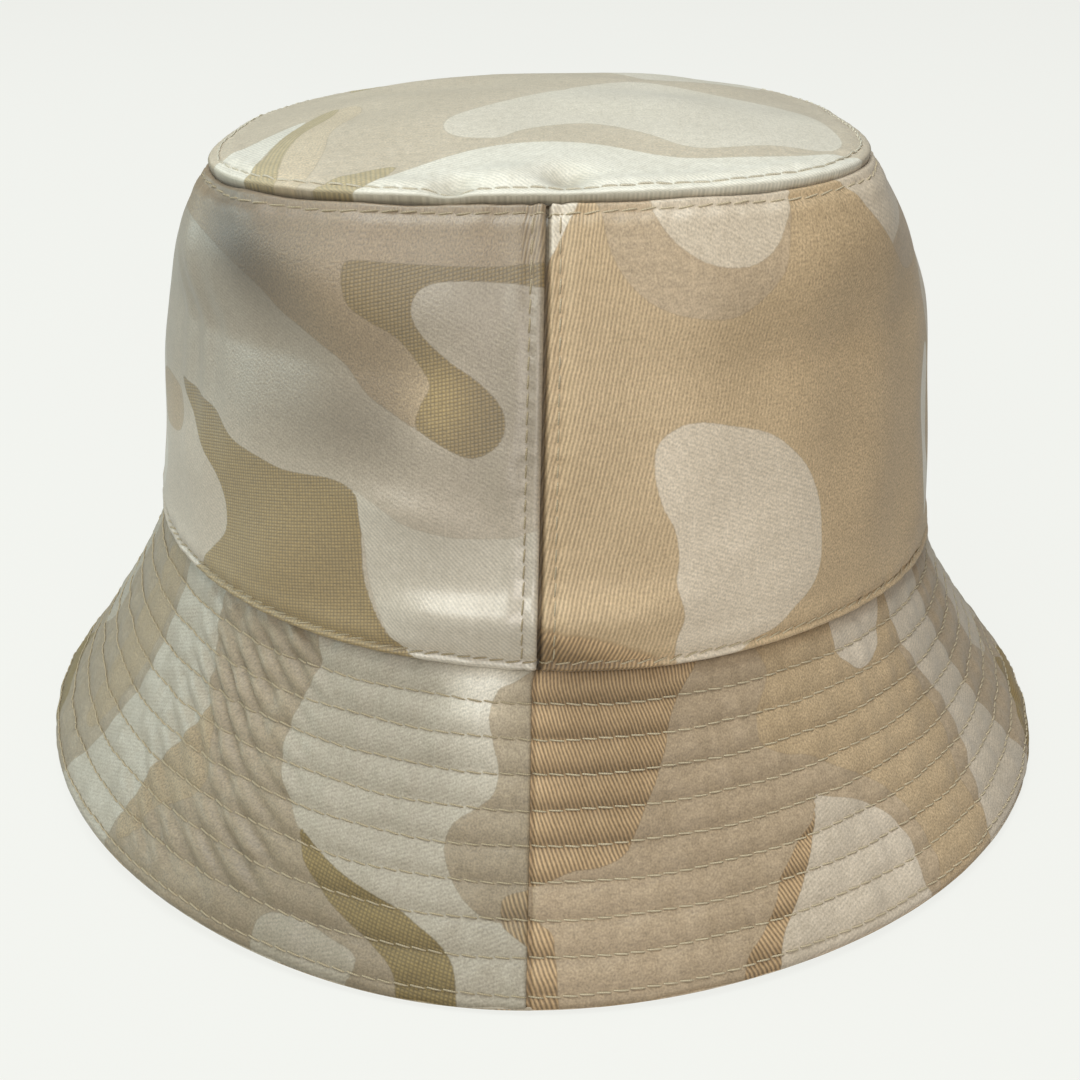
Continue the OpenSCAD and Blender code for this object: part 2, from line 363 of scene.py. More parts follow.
def brim_light(along, s):
    """Painted light on the brim: more left of the front seam, with a painted sheen just below the lip there,
    on pulled parts and far round on the right; painted shade right of the seam and low down.
    """
    right = 0.16 * hump(along, 16, 18) * (1 - ease(s, 34, 44)) * (along > 0)
    low = 0.2 * hump(along, -42, 24) * ease(s, 40, 60)
    return 1 + spots(along, s, BRIM_SPOTS) + 0.2 * hump(along, 88, 28) - right - low


def row_shade(s):
    """Painted shade along the stitched rows, most on the side above a row, from 0 to 1."""
    return 0.4 * (1 - quilting(s)) ** 1.5 + 0.6 * ease((s / ROW_PITCH) % 1, 0.35, 0.95)


def brim_relief(side, turn, s):
    side = half_of(turn) if side is None else side
    along = turn * BRIM_GAUGE
    between = quilting(s)
    puff = (0.62 * between - 0.3) * (0.6 + 0.4 * ease(along, -90, -45))
    pucker = 0.13 * ripple(along, s * 0.35, 21, pitch=6.5) * (0.35 + 0.65 * between)
    pucker = pucker + 0.16 * ripple(along, s, 24, pitch=13)
    creases = brim_creases(along, s) * (0.75 + 0.25 * between)
    swell = 1.3 * hump(s, 11, 6) * hump(along, -15, 9)
    step = seam_step(side, seam_distance(side, turn, BRIM_GAUGE), BRIM_STEP)
    return puff + pucker + creases + swell + step


def brim_rim(s):
    """How far the cloth has turned over towards the edge of the brim."""
    return RIM_DROP * np.clip((s - BRIM_WIDTH + RIM_WAY) / RIM_WAY, 0, 1) ** 2


def brim_face(turn, s, lift=0.0, side=None):
    return settled(brim_profile(s, brim_relief(side, turn, s) - brim_rim(s) + lift), turn)


def under_face(turn, s, lift=0.0, side=None):
    relief = UNDER_SHARE * brim_relief(side, turn, s)
    return settled(brim_profile(s, brim_rim(s) - BRIM_THICK - relief - lift), turn)


# Dents near the front of the top, with a bulge between them: depth, then middle and width across and along
TOP_DENTS = [(2.4, 3.5, 4.0, -68.0, 4.0), (2.0, -17.0, 3.6, -69.5, 3.2), (-1.0, -8.0, 6.0, -67.0, 4.0)]


def top_face(turn, r, lift=0.0):
    d = TOP_R - r
    x = r * np.sin(turn)
    y = -r * np.cos(turn)
    relief = folded_edge(d, TOP_INSET, turn * TOP_R, 31, drop=0.4, depth=0.12, pull=0.12, bend=0.6)
    relief = relief - 0.25 * (1 - ease(d, 0, 3.5)) - spots(x, y, TOP_DENTS)
    relief = relief + 0.35 * ripple(-y, x, 32, pitch=30) * ease(d, 2, 14)
    return settled(top_profile(r, relief + lift), turn)


def lining_depth(h):
    """How far the lining lies behind the wall's face: more at the brim's flange, less above it."""
    start = BRIM_FLANGE + 1
    share = ease(h, start, start + LINING_EASE)
    return LINING_FOOT_DEPTH + (FLANGE_DEPTH - LINING_FOOT_DEPTH) * share


def lining_face(turn, h, depth):
    return settled(wall_profile(h, -lining_depth(h) - depth), turn)


# Patches of the cloth's pattern, drawn as closed outlines in millimetres on the cut of each piece.
# Later patches lie over earlier ones. A third number below 1 makes the edge of a patch soft.
# On the wall the second number of a place is the height above the seam, on the brim the way down from it,
# and on the top a place is counted from the middle.
KINDS = ("pale", "cream", "beige", "tan", "khaki", "olive")
WALL_LEFT = [
    ("cream", [(-37.5, 33.5), (-33, 32.5), (-29, 30.5), (-25, 28.5), (-16, 27), (-6, 27.5), (4, 28),
        (4, -4), (-24, -4), (-27.5, 3), (-31, 9.5), (-33.5, 16), (-34.5, 24)]),
    ("tan", [(3, 94), (3, 78), (-10, 76.5), (-25, 76), (-33, 74), (-33, 69), (-27, 64), (-20, 57),
        (-15, 50), (-13, 44), (-18, 44.5), (-23.5, 47), (-29.5, 50), (-35, 53), (-40, 58), (-46, 61.5),
        (-51, 64.5), (-55, 67), (-60.5, 72), (-71, 77), (-85, 80), (-100, 82), (-110, 94)]),
    ("olive", [(3, 78), (-9.5, 77.5), (-18, 77.5), (-32, 78), (-38.5, 78), (-40, 76.5), (-39.5, 72.5),
        (-38, 69.5), (-34, 67), (-29, 64.5), (-25, 60.5), (-22, 56), (-23.5, 52.5), (-24.5, 48.5),
        (-21.5, 46), (-16, 43.5), (-12.5, 43), (-8.5, 45.5), (-7, 49.5), (-8.5, 53.5), (-13, 57.5),
        (-18, 60.5), (-23.5, 65), (-26, 69), (-25.5, 72.5), (-22.5, 74.5), (-17, 75), (-8.5, 74.8),
        (3, 74)]),
    ("olive", [(-94.5, 43), (-83.5, 42), (-76, 40.5), (-69.5, 36.5), (-61.5, 35), (-54.5, 34), (-48, 34.5),
        (-42.5, 35), (-38.5, 34.3), (-36, 32.5), (-35.5, 29), (-35, 22.5), (-34.5, 15.5), (-32, 9.5),
        (-29, 5), (-26, 2.5), (-22.5, -4), (-82, -4), (-80.5, 4), (-76.5, 9), (-72.5, 14), (-72.3, 19.5),
        (-73.7, 23.5), (-76.5, 27), (-81, 30.5), (-87, 36.5), (-92, 40.5)]),
    ("tan", [(-92, 35), (-96, 39.5), (-104, 41), (-111, 39), (-114, 33), (-109, 28), (-100, 28),
        (-94, 30)]),
]
WALL_RIGHT = [
    ("beige", [(12, 94), (12, 85), (13.5, 79), (17, 74), (22.5, 70), (29.5, 67.8), (37, 67.3), (43, 70),
        (48, 74.5), (50, 80), (52, 86.5), (53, 94)]),
    ("pale", [(22.5, 94), (22.5, 88), (23, 85), (25, 82), (28, 79.3), (32, 77), (37, 76), (42, 76.3),
        (46.5, 78.5), (49.5, 82), (52, 86.5), (53, 94)]),
    ("pale", [(31, 48.5), (37.5, 47), (45.5, 44.5), (51, 40.5), (56, 35), (59, 28), (59.5, 21), (59, 14.5),
        (56.5, 10), (52.5, 7), (48, 4), (41, 1.5), (33.5, -3), (28, -3), (26, 4.5), (27.5, 11), (26, 17.5),
        (26.5, 22.5), (25.5, 28.5), (23, 33.5), (21.5, 39.5), (22, 45), (26, 48)]),
    ("khaki", [(-2, 9.5), (5, 9.2), (11, 8), (17, 5.5), (22, 2.5), (24, -4), (-2, -4)], 0.25),
    ("cream", [(-2, 94), (8, 94), (7, 88), (5, 85), (3, 82), (1, 79), (-2, 78)]),
    ("pale", [(62, 94), (62.5, 90), (67, 86), (72, 81), (78, 75.5), (86, 70), (98, 68), (112, 73),
        (116, 94)]),
    ("beige", [(80, 74.5), (84, 71), (90, 68), (98, 66.5), (107, 69), (111, 75), (103, 78), (90, 77)]),
]
WALL_SIDE = [
    ("khaki", [(126, 24), (136, 29), (146, 24), (158, 28), (170, 18), (174, 6), (176, -4), (130, -4),
        (122, 10)]),
    ("pale", [(118, 68), (128, 78), (141, 76), (150, 69), (157, 60), (152, 50), (158, 39), (150, 31),
        (139, 34), (131, 43), (121, 46), (114, 56)]),
    ("cream", [(114, 47), (121, 41), (120, 31), (116, 23), (120, 13), (112, 8), (106, 17), (109, 29),
        (107, 40)]),
]
TOP = [
    ("tan", [(-51, -58), (-48, -44), (-51, -15), (-46, -6), (-41, -14), (-40, -32), (-39, -46),
        (-42, -62)]),
    ("olive", [(-52, -56), (-49.5, -44), (-52, -15), (-48.5, -8), (-47, -30), (-46, -44), (-46, -60)]),
    ("cream", [(-60, -50), (-56, -33), (-53, -18), (-50.5, -33), (-50.5, -52), (-56, -62)]),
    ("pale", [(-18, -41), (-19, -31), (-13, -21), (2, -5), (20, 10), (33, 8), (55, -8), (60, -25),
        (53, -46), (40, -46), (27, -50), (18, -42), (8, -36), (-4, -40), (-10, -45)]),
    ("olive", [(-41, -66), (-35, -60), (-27, -57), (-31, -66), (-36, -74), (-42, -74)]),
    ("cream", [(-36, -74), (-29, -63), (-16.5, -52.5), (-5, -49.5), (9.5, -51), (24, -56), (38, -53),
        (53, -49), (64, -52), (66, -66), (40, -88), (-20, -90)]),
    ("olive", [(-36, 31), (-24, 38), (-12, 36), (-6, 47), (-14, 57), (-12, 67), (-26, 66), (-38, 57),
        (-51, 50), (-49, 38)]),
    ("pale", [(20, 38), (30, 28), (42, 34), (54, 30), (58, 43), (48, 53), (40, 66), (24, 62), (12, 57),
        (14, 46)]),
]
BRIM_LEFT = [
    ("pale", [(-51, -5), (-52.5, 6), (-54.5, 12.5), (-56, 17), (-57, 22.5), (-56.5, 28), (-53, 33.5),
        (-48, 39.5), (-42.5, 42.5), (-36, 47), (-30, 52), (-20, 60), (-14, 72), (6, 72), (6, -5)]),
    ("beige", [(6, 2.5), (-5.5, 3.5), (-8.5, 6), (-9.5, 10), (-8.5, 15), (-7, 20.5), (-8, 25.5),
        (-11.5, 28.5), (-15.5, 31.5), (-17, 36), (-15.5, 41), (-13, 45), (-9, 48.5), (-4.5, 49.8),
        (6, 50)]),
    ("khaki", [(6, 44), (-4, 44.5), (-5, 48.5), (-3.5, 51.5), (6, 57)]),
    ("olive", [(-47.5, 39.5), (-42.5, 42.5), (-36, 45.5), (-30, 47.5), (-24.5, 49.3), (-20.5, 51.5),
        (-16, 54.5), (-13, 58.5), (-12, 64), (-12, 72), (-21, 72), (-23, 62), (-28, 57), (-34, 53.5),
        (-40, 49.5), (-45, 45)]),
    ("pale", [(-49, 57.5), (-42, 56.5), (-35.5, 58), (-30.5, 59.8), (-31, 64.5), (-36, 72), (-48, 72),
        (-51, 63)]),
    ("tan", [(-93, 57), (-91.5, 51.5), (-91, 45.5), (-87.5, 38.5), (-84.5, 31.5), (-82.5, 26.5),
        (-81, 24.5), (-77, 31), (-74.5, 37.5), (-75, 42.5), (-78.5, 46.5), (-84.5, 51), (-86, 57),
        (-90, 62)]),
    ("pale", [(-92, -5), (-88, 8), (-85.5, 15), (-83.5, 22), (-82, 26), (-84.5, 32), (-88, 39),
        (-91, 45.5), (-91.5, 51.5), (-93, 58), (-97, 72), (-120, 72), (-114, 50), (-109, 32), (-108, 12),
        (-110, -5)]),
    ("tan", [(-113, 2), (-111, 18), (-114, 38), (-120, 52), (-127, 48), (-128, 24), (-124, 4)]),
]
BRIM_RIGHT = [
    ("tan", [(56, -5), (57.5, 6), (53, 13), (52, 20), (57, 24), (63, 26), (70, 31), (78, 37), (84, 46),
        (86, 58), (84, 72), (108, 72), (104, 52), (108, 34), (104, 16), (104, -5)]),
    ("khaki", [(-4, -5), (40, -5), (38, 1), (35, 5.5), (31.5, 10.5), (29.5, 17), (26.5, 23.5), (24, 28),
        (21.5, 32.5), (19, 37), (14.5, 39.3), (9, 39.8), (-4, 39.5)]),
    ("khaki", [(-4, 49), (3.5, 51), (4.7, 56), (5, 61.5), (4.5, 72), (-4, 72)]),
    ("pale", [(80.5, -5), (79.5, 7), (82, 10.5), (86.5, 13.5), (92.5, 12), (97.5, 6.5), (100, -5)]),
    ("pale", [(62, 35), (65, 36), (71.5, 39), (76, 42.5), (80, 48), (81.5, 54), (80, 61), (79.5, 72),
        (43, 72), (46, 60.8), (50, 55.5), (54.5, 49.5), (58.5, 43)]),
    ("khaki", [(62.5, 33.5), (59.5, 39.5), (54, 43.5), (49.5, 48), (46.5, 53.5), (42.5, 58.5),
        (38.5, 62.5), (37.5, 72), (43, 72), (46, 60.8), (50, 55.5), (54.5, 49.5), (58.5, 43), (62, 35.5)]),
    ("pale", [(106, -5), (105, 10), (109, 22), (113, 34), (111, 46), (106, 58), (106, 72), (136, 72),
        (131, 50), (126, 24), (124, -5)]),
]
BRIM_SIDE = [
    ("pale", [(150, 10), (160, 2), (174, 6), (186, 4), (192, 16), (186, 28), (189, 39), (178, 46),
        (166, 40), (156, 44), (147, 33), (152, 22)]),
    ("khaki", [(196, 72), (200, 52), (212, 38), (222, 44), (220, 60), (214, 72)]),
    ("olive", [(140, 72), (143, 60), (152, 57), (160, 50), (168, 57), (176, 58), (182, 72)]),
]
FAR = 8.0


def moved(patches, shift=0.0, mirror=1):
    """The same patches shifted along the piece, or turned over first."""
    return [(kind, [(mirror * u + shift, v) for u, v in outline], *soft) for kind, outline, *soft in patches]


def smooth_outline(points, steps=6):
    """A closed smooth curve through the points."""
    p = np.array(points, dtype=float)
    a, b, c, d = (np.roll(p, shift, axis=0)[:, None, :] for shift in (1, 0, -1, -2))
    t = (np.arange(steps) / steps)[None, :, None]
    bend = 2 * a - 5 * b + 4 * c - d
    twist = 3 * b - a - 3 * c + d
    return (0.5 * (2 * b + (c - a) * t + bend * t ** 2 + twist * t ** 3)).reshape(-1, 2)


def inside_distance(places, outline):
    """Distance to an outline, positive inside it and cut off at FAR."""
    curve = smooth_outline(outline)
    result = np.full(len(places), -FAR)
    close = np.all((places > curve.min(axis=0) - FAR) & (places < curve.max(axis=0) + FAR), axis=1)
    p = places[close]
    nearest = np.full(len(p), FAR ** 2)
    inside = np.zeros(len(p), dtype=bool)
    for start, end in zip(curve, np.roll(curve, -1, axis=0)):
        way = end - start
        share = np.clip(((p - start) @ way) / (way @ way), 0, 1)
        gap = p - start - share[:, None] * way
        nearest = np.minimum(nearest, np.sum(gap * gap, axis=1))
        crosses = (start[1] > p[:, 1]) != (end[1] > p[:, 1])
        rise = way[1] if way[1] != 0 else 1.0
        inside ^= crosses & (p[:, 0] < start[0] + (p[:, 1] - start[1]) * way[0] / rise)
    result[close] = np.where(inside, 1, -1) * np.sqrt(nearest)
    return result


def set_values(obj, name, values):
    """Writes one number or three for each point of a face, and again for its back."""
    mesh = obj.data
    repeat = len(mesh.vertices) // len(values) + 1
    full = np.concatenate([values] * repeat)[:len(mesh.vertices)].astype(np.float32)
    kind, field = ("FLOAT", "value") if full.ndim == 1 else ("FLOAT_VECTOR", "vector")
    mesh.attributes.new(name, kind, "POINT").data.foreach_set(field, full.reshape(-1))


def set_shade(obj, values):
    """Writes how much light is left at each point: painted shade in the depth of seams, folds, creases and
    dents, and painted light where it is given.
    """
    set_values(obj, "shade", values.reshape(-1))


def set_pattern(obj, uv, ground, patches):
    """Writes, for each kind of weave, how far inside its visible patches each point of the cloth lies."""
    places = uv.reshape(-1, 2)
    everywhere = np.full(len(places), FAR)
    layers = [(ground, everywhere)]
    for kind, outline, *soft in patches:
        layers.append((kind, inside_distance(places, outline) * (soft[0] if soft else 1.0)))
    scores = {kind: -everywhere for kind in KINDS}
    visible = everywhere
    for kind, distance in layers[::-1]:
        scores[kind] = np.maximum(scores[kind], np.minimum(visible, distance))
        visible = np.minimum(visible, -distance)
    for name, group in (("pattern_light", KINDS[:3]), ("pattern_dark", KINDS[3:])):
        set_values(obj, name, np.stack([scores[kind] for kind in group], axis=-1))


def set_half_pattern(obj, side, uv, ground, right, left, beside, half):
    """The pattern of one half of the hat. What it has in front lies behind on the other half."""
    ahead, behind = (right, left) if side > 0 else (left, right)
    set_pattern(obj, uv, ground, moved(behind, side * half) + moved(beside, mirror=side) + ahead)


# Meshes
def new_object(name, points, *groups):
    """An object with points in millimetres and groups of faces, each group with one count of corners."""
    mesh = bpy.data.meshes.new(name + "_piece")
    loops = np.concatenate([faces.reshape(-1) for faces in groups]).astype(np.int32)
    totals = np.concatenate([np.full(len(faces), faces.shape[1]) for faces in groups]).astype(np.int32)
    mesh.vertices.add(len(points))
    mesh.vertices.foreach_set("co", (points * MM).astype(np.float32).reshape(-1))
    mesh.loops.add(len(loops))
    mesh.loops.foreach_set("vertex_index", loops)
    mesh.polygons.add(len(totals))
    starts = np.concatenate([[0], np.cumsum(totals)[:-1]]).astype(np.int32)
    mesh.polygons.foreach_set("loop_start", starts)
    mesh.polygons.foreach_set("loop_total", totals)
    mesh.update(calc_edges=True)
    mesh.polygons.foreach_set("use_smooth", np.ones(len(totals), dtype=bool))
    mesh.validate()
    obj = bpy.data.objects.new(name + "_piece", mesh)
    bpy.context.scene.collection.objects.link(obj)
    return obj


def set_uv(obj, uv):
    """Writes the cut of the cloth, in millimetres, as a texture map."""
    mesh = obj.data
    layer = mesh.uv_layers.new(name="cut")
    index = np.empty(len(mesh.loops), dtype=np.int32)
    mesh.loops.foreach_get("vertex_index", index)
    layer.data.foreach_set("uv", (uv[index] / CUT_UNIT).astype(np.float32).reshape(-1))


def grid_quads(rows, columns, offset, flip):
    a = np.arange(rows * columns).reshape(rows, columns) + offset
    quads = np.stack([a[:-1, :-1], a[1:, :-1], a[1:, 1:], a[:-1, 1:]], axis=-1).reshape(-1, 4)
    return quads[:, ::-1] if flip else quads


def loop_of(rows, columns):
    a = np.arange(rows * columns).reshape(rows, columns)
    return np.concatenate([a[:, 0], a[-1, 1:], a[-2::-1, -1], a[0, -2:0:-1]])


def shell(name, outer, inner, uv, flip=False):
    """A closed ply of cloth between two matching grids of points."""
    rows, columns = outer.shape[:2]
    count = rows * columns
    points = np.concatenate([outer.reshape(-1, 3), inner.reshape(-1, 3)])
    edge = loop_of(rows, columns)
    after = np.roll(edge, -1)
    rim = np.stack([edge, edge + count, after + count, after], axis=-1)
    if flip:
        rim = rim[:, ::-1]
    front = grid_quads(rows, columns, 0, flip)
    back = grid_quads(rows, columns, count, not flip)
    obj = new_object(name, points, np.concatenate([front, back, rim]))
    set_uv(obj, np.concatenate([uv.reshape(-1, 2)] * 2))
    return obj


def disc(name, face, radii, turns, lower, spread=0.0):
    """A closed round ply of cloth, with rings at the given radii and a point in the middle.

    The spread is the cloth that is rolled over at the edge."""
    count = len(turns)
    rings = len(radii)
    turn, r = np.meshgrid(turns, radii)
    above = face(turn, r, 0.0).reshape(-1, 3)
    under = face(turn, r, lower(r)).reshape(-1, 3)
    middle = np.stack([face(0.0, 0.0, 0.0), face(0.0, 0.0, lower(0.0))])
    total = rings * count
    a = np.arange(total).reshape(rings, count)
    b = np.roll(a, -1, axis=1)
    sides = np.stack([a[:-1], a[1:], b[1:], b[:-1]], axis=-1).reshape(-1, 4)
    rim = np.stack([a[-1], a[-1] + total, b[-1] + total, b[-1]], axis=-1)
    quads = np.concatenate([sides, sides[:, ::-1] + total, rim])
    top_tris = np.stack([np.full(count, 2 * total), a[0], b[0]], axis=-1)
    low_tris = np.stack([np.full(count, 2 * total + 1), b[0] + total, a[0] + total], axis=-1)
    points = np.concatenate([above, under, middle])
    obj = new_object(name, points, quads, np.concatenate([top_tris, low_tris]))
    flat = np.stack([r * np.sin(turn), -r * np.cos(turn)], axis=-1).reshape(-1, 2)
    rolled = 1 + spread / r * np.clip(1 - (radii[-1] - r), 0, 1) ** 2
    cut = flat * rolled.reshape(-1, 1)
    set_uv(obj, np.concatenate([cut, cut, np.zeros((2, 2))]))
    return obj, flat


def half_grid(side, r, ways, coarse, fine, margin=SEAM_LINE / 2, underlap=0.0):
    """A grid over one half of the hat, from the front seam to the back, and below the left half if told."""
    places = margin + graded(np.pi * r - 2 * margin, coarse, fine)
    if underlap and side > 0:
        tucked = margin - underlap * np.array([1.0, 0.7, 0.4, 0.1])
        places = np.concatenate([tucked, places, np.pi * r - tucked[::-1]])
    return np.meshgrid(side * places / r, ways, indexing="ij")


def cut_map(turn, gauge, way):
    """Place of each point on the flat cut."""
    return np.stack([turn * gauge, way], axis=-1)


def sided(name, side):
    return name + ("_right" if side > 0 else "_left")


# Cloth pieces, one function each
def side_panel(side):
    heights = graded(CROWN_DEPTH, 0.8, EDGE_STEP)
    turn, h = half_grid(side, WALL_GAUGE, heights, CLOTH_STEP, EDGE_STEP, underlap=WALL_UNDERLAP)
    near = 1 - ease(np.minimum(h, CROWN_DEPTH - h), 0.4, 1.6)
    under = np.minimum(-SHELL - 0.1 - 0.7 * near, wall_relief(side, turn, h) - 0.25)
    inner = settled(wall_profile(h, under), turn)
    uv = cut_map(turn, WALL_GAUGE, h)
    obj = shell(sided("side_panel", side), wall_face(turn, h, side=side), inner, uv, flip=side < 0)
    ground = "tan" if side > 0 else "pale"
    set_half_pattern(obj, side, uv, ground, WALL_RIGHT, WALL_LEFT, WALL_SIDE, WALL_HALF)
    seam = seam_shade(side, turn, WALL_GAUGE, WALL_SEAM_DARK)
    set_shade(obj, seam * wall_shade(side, turn * WALL_GAUGE, h))
    return obj


def crown_top():
    radii = graded(2 * TOP_R, CLOTH_STEP, EDGE_STEP)
    radii = radii[radii > TOP_R + 0.3] - TOP_R
    turns = np.linspace(-np.pi, np.pi, 430, endpoint=False)

    def lower(r):
        return -SHELL - 0.15 - 0.85 * (1 - ease(TOP_R - r, 0.4, 2.0))

    obj, flat = disc("crown_top", top_face, radii, turns, lower, spread=2.0)
    set_pattern(obj, flat, "beige", TOP)
    x, y = flat.T
    # Painted shade on the side of the rim, weaker towards the right, and painted shade in the dents
    dark = 0.5 - 0.28 * ease(x, 0, 40)
    edge = 1 - dark * (1 - ease(TOP_R - np.hypot(x, y), 0.1, 0.5))
    set_shade(obj, edge * (1 - 0.16 * np.clip(spots(x, y, TOP_DENTS), 0, 2)))
    return obj


def brim_grid(side):
    """Half of the brim as turns and ways down from the seam."""
    ways = np.concatenate([[-1.6, -0.8], graded(BRIM_WIDTH, 0.74, 0.2)])
    return half_grid(side, BRIM_GAUGE, ways, CLOTH_STEP, EDGE_STEP, underlap=BRIM_UNDERLAP)


def brim_top(side):
    turn, s = brim_grid(side)
    near = ease(s, BRIM_WIDTH - 3, BRIM_WIDTH)
    under = np.minimum(-SHELL - 0.22 - 0.18 * near, brim_relief(side, turn, s) - 0.5)
    inner = settled(brim_profile(s, under), turn)
    uv = cut_map(turn, BRIM_GAUGE, s)
    obj = shell(sided("brim_top", side), brim_face(turn, s, side=side), inner, uv, flip=side > 0)
    set_half_pattern(obj, side, uv, "beige", BRIM_RIGHT, BRIM_LEFT, BRIM_SIDE, BRIM_HALF)
    along = turn * BRIM_GAUGE
    # Painted shade: a painted shadow just below the crown's lip, painted shade in the creases and the seam's
    # gap, and the painted light of brim_light
    painted_lip_shadow = 1 - 0.3 * (1 - ease(s, 0.2, 1.8))
    painted_crease_shade = 1 - 0.22 * np.clip(-brim_creases(along, s), 0, 1)
    seam = seam_shade(side, turn, BRIM_GAUGE, BRIM_SEAM_DARK)
    set_shade(obj, painted_lip_shadow * painted_crease_shade * seam * brim_light(along, s))
    # Painted shade along the stitched rows, which each kind of weave takes as strongly as it asks
    set_values(obj, "rows", row_shade(s).reshape(-1))
    return obj


def brim_under(side):
    turn, s = brim_grid(side)
    near = ease(s, BRIM_WIDTH - 3, BRIM_WIDTH)
    clear = 0.5 - BRIM_THICK - UNDER_SHARE * brim_relief(side, turn, s)
    above = np.maximum(-BRIM_THICK + SHELL + 0.02 + 0.38 * near, clear)
    inner = settled(brim_profile(s, above), turn)
    uv = cut_map(turn, BRIM_GAUGE, s)
    obj = shell(sided("brim_under", side), under_face(turn, s, side=side), inner, uv, flip=side < 0)
    right, left = (moved(patches, mirror=-1) for patches in (BRIM_LEFT, BRIM_RIGHT))
    set_half_pattern(obj, side, uv, "beige", right, left, BRIM_SIDE, BRIM_HALF)
    set_shade(obj, seam_shade(side, turn, BRIM_GAUGE, BRIM_SEAM_DARK))
    return obj


def brim_interlining(side):
    ways = np.linspace(0.5, BRIM_WIDTH - 6.1, 40)
    turn, s = half_grid(side, BRIM_GAUGE, ways, 3.0, 1.0, margin=4.0)
    upper = settled(brim_profile(s, -SHELL - 0.3), turn)
    lower = settled(brim_profile(s, -BRIM_THICK + SHELL + 0.15), turn)
    return shell(sided("brim_interlining", side), upper, lower, cut_map(turn, BRIM_GAUGE, s), flip=side > 0)


def lining_side(side):
    heights = np.linspace(BAND_INSET / 2, CROWN_DEPTH - LINING, 60)
    turn, h = half_grid(side, WALL_GAUGE, heights, 1.8, 0.8)
    outer = lining_face(turn, h, 0.0)
    inner = lining_face(turn, h, LINING)
    return shell(sided("lining_side", side), outer, inner, cut_map(turn, WALL_GAUGE, h), flip=side < 0)


LINING_TOP_R, LINING_TOP_Z = wall_profile(CROWN_DEPTH - LINING, -FLANGE_DEPTH)


def lining_top_face(turn, r, lift):
    z = LINING_TOP_Z + PLY_GAP + LINING + DOME_RISE * (1 - (r / LINING_TOP_R) ** DOME_POWER)
    return settle(r, turn, z + lift)


def lining_top():
    radii = np.linspace(LINING_TOP_R / 50, LINING_TOP_R, 50)
    turns = np.linspace(-np.pi, np.pi, 200, endpoint=False)
    return disc("lining_top", lining_top_face, radii, turns, lambda r: -LINING)[0]


def band_face(turn, h, lift=0.0):
    soft = 0.12 * ripple(turn * WALL_GAUGE, h, 41, pitch=14)
    return lining_face(turn, h, LINING + PLY_GAP + BAND + lift + soft)


def sweatband():
    margin = SEAM_LINE / 2 / WALL_GAUGE
    turns = np.linspace(-np.pi + margin, np.pi - margin, 480)
    heights = graded(SWEATBAND_HEIGHT, 0.9, EDGE_STEP)
    turn, h = np.meshgrid(turns, heights, indexing="ij")
    roll = 0.45 * np.clip(1 - np.minimum(h, SWEATBAND_HEIGHT - h) / 0.8, 0, 1) ** 2
    inside = band_face(turn, h, -roll)
    outside = lining_face(turn, h, LINING + PLY_GAP)
    return shell("sweatband", outside, inside, cut_map(turn, WALL_GAUGE, h))


# Stitching: every stitch is a short bent thread that dips into the cloth at both ends
STITCH_RINGS = np.array([-1.0, -0.86, -0.5, 0.0, 0.5, 0.86, 1.0])
STITCH_REACH = STITCH_RINGS * STITCH_LENGTH / 2
STITCH_SIDES = 6
WANDER = 0.14


def unit(vectors):
    return vectors / np.linalg.norm(vectors, axis=-1, keepdims=True)


def stitch_row(place, length, slant=0.1):
    """Points of all stitches of a row. place(along, aside, lift) gives points on the cloth."""
    count = round(length / STITCH_PITCH)
    centre = (np.arange(count) + 0.5) * length / count
    along = centre[:, None] + STITCH_REACH[None, :]
    aside = np.broadcast_to(slant * STITCH_RINGS, along.shape)
    lift = np.broadcast_to(STITCH_LIFT - STITCH_DIP * STITCH_RINGS ** 8, along.shape)
    mid = place(along, aside, lift)
    up = unit(place(along, aside, lift + STITCH_LIFT) - mid)
    across = unit(np.cross(up, np.gradient(mid, axis=1)))
    width = THREAD_R * np.sqrt(np.clip(1 - 0.75 * STITCH_RINGS ** 6, 0.05, 1))
    angle = 2 * np.pi * np.arange(STITCH_SIDES)[:, None] / STITCH_SIDES
    ring = up[:, :, None, :] * np.cos(angle) + across[:, :, None, :] * np.sin(angle)
    return mid[:, :, None, :] + ring * width[None, :, None, None]


def stitching(name, rows, left_light=0.75):
    """One object for all stitches of the given rows, with painted shade that leaves less light on the left
    half of the hat.
    """
    points = np.concatenate(rows)
    count, rings, sides = points.shape[:3]
    a = np.arange(rings * sides).reshape(rings, sides)
    b = np.roll(a, -1, axis=1)
    tube = np.stack([a[:-1], b[:-1], b[1:], a[1:]], axis=-1).reshape(-1, 4)
    caps = [loop[part] for loop in (a[0, ::-1], a[-1]) for part in ([0, 1, 2, 3], [0, 3, 4, 5])]
    one = np.concatenate([tube, caps])
    quads = (one[None] + (np.arange(count) * rings * sides)[:, None, None]).reshape(-1, 4)
    obj = new_object(name, points.reshape(-1, 3), quads)
    around = np.arange(sides) * 2 * np.pi * THREAD_R / sides
    uv = np.stack(np.meshgrid(STITCH_REACH, around, indexing="ij"), axis=-1)
    set_uv(obj, np.tile(uv.reshape(-1, 2), (count, 1)))
    set_shade(obj, left_light + (1 - left_light) * ease(points[..., 0], -6, 6))
    return obj


def ring_row(face, at, radius, slant=0.16):
    """A row round the hat on a face, at a place of its profile."""
    def place(along, aside, lift):
        turn = (along / radius + np.pi) % (2 * np.pi) - np.pi
        wander = WANDER * (np.sin(9 * turn + at) + np.sin(23 * turn + 2.3 * at))
        return face(turn, at + aside + wander, lift)

    return stitch_row(place, 2 * np.pi * radius, slant)


